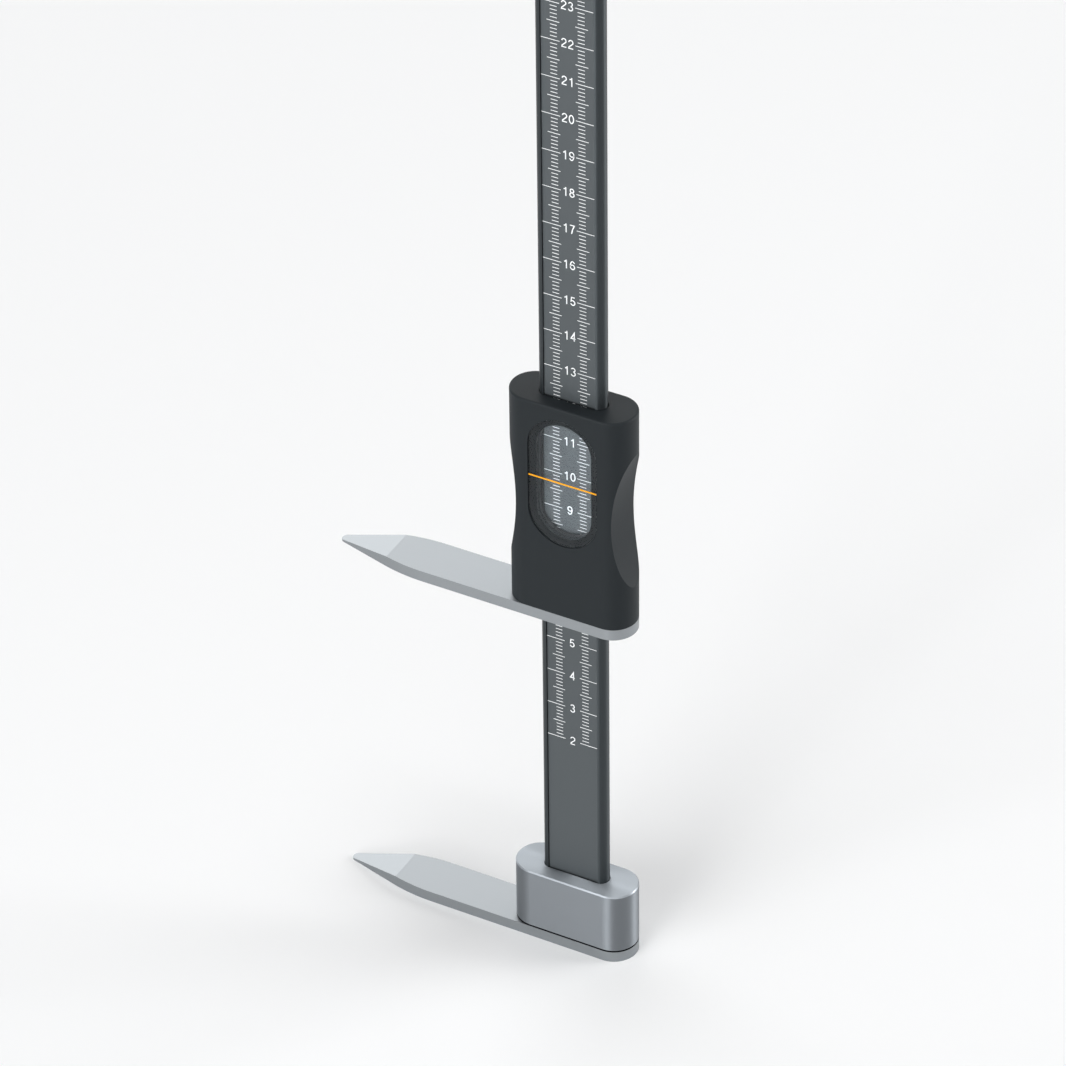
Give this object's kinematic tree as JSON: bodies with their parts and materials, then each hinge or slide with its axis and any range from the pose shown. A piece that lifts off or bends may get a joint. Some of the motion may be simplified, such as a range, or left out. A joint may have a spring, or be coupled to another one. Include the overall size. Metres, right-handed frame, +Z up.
{
  "type": "foot measuring device",
  "caption": "Sliding calliper for measuring a foot: upright centimetre beam, fixed blade at its base and a pointed blade on a windowed slider.",
  "frame": {"origin": "underside of the fixed blade, on the axis of the beam", "axes": "+Z up along the beam; the scale and the window face -Y; both blades point to -X"},
  "size_m": [0.081, 0.0126, 0.3735],
  "materials": {
    "beam_anodised": "dark grey anodised, satin",
    "strip_anodised": "grey anodised, matt, with pale graduations",
    "head_satin": "satin with a bright broken edge",
    "blade_steel": "fine lengthwise brushing",
    "screw_steel": "plain machined",
    "black_steel": "black oxide",
    "cap_plastic": "fine moulded texture",
    "slider_plastic": "fine moulded texture",
    "window_clear": "clear, polished",
    "index_orange": "inked line",
    "insert_brass": "machined",
    "sleeve_plastic": "smooth low-friction liner",
    "pad_plastic": "smooth low-friction pad",
    "spring_steel": "rolled spring strip"
  },
  "bodies": {
    "base": {"beam": "beam_anodised", "scale_strip": "strip_anodised", "fixed_head": "head_satin", "fixed_blade": "blade_steel", "fixed_blade_screws": "screw_steel", "fixed_blade_dowels": "screw_steel", "head_grub_screws": "black_steel", "end_cap": "cap_plastic", "end_cap_screws": "screw_steel"},
    "slider": {"slider_body": "slider_plastic", "window_lens": "window_clear", "index_line": "index_orange", "moving_blade": "blade_steel", "moving_blade_screws": "screw_steel", "moving_blade_dowels": "screw_steel", "threaded_inserts": "insert_brass", "guide_sleeve": "sleeve_plastic", "pressure_pad": "pad_plastic", "leaf_spring": "spring_steel", "adjusting_screws": "black_steel"}
  },
  "joints": [
    {"name": "slider_travel", "type": "slide", "parent": "base", "child": "slider", "axis": [0, 0, 1], "range_m": [-0.08, 0.2]}
  ]
}
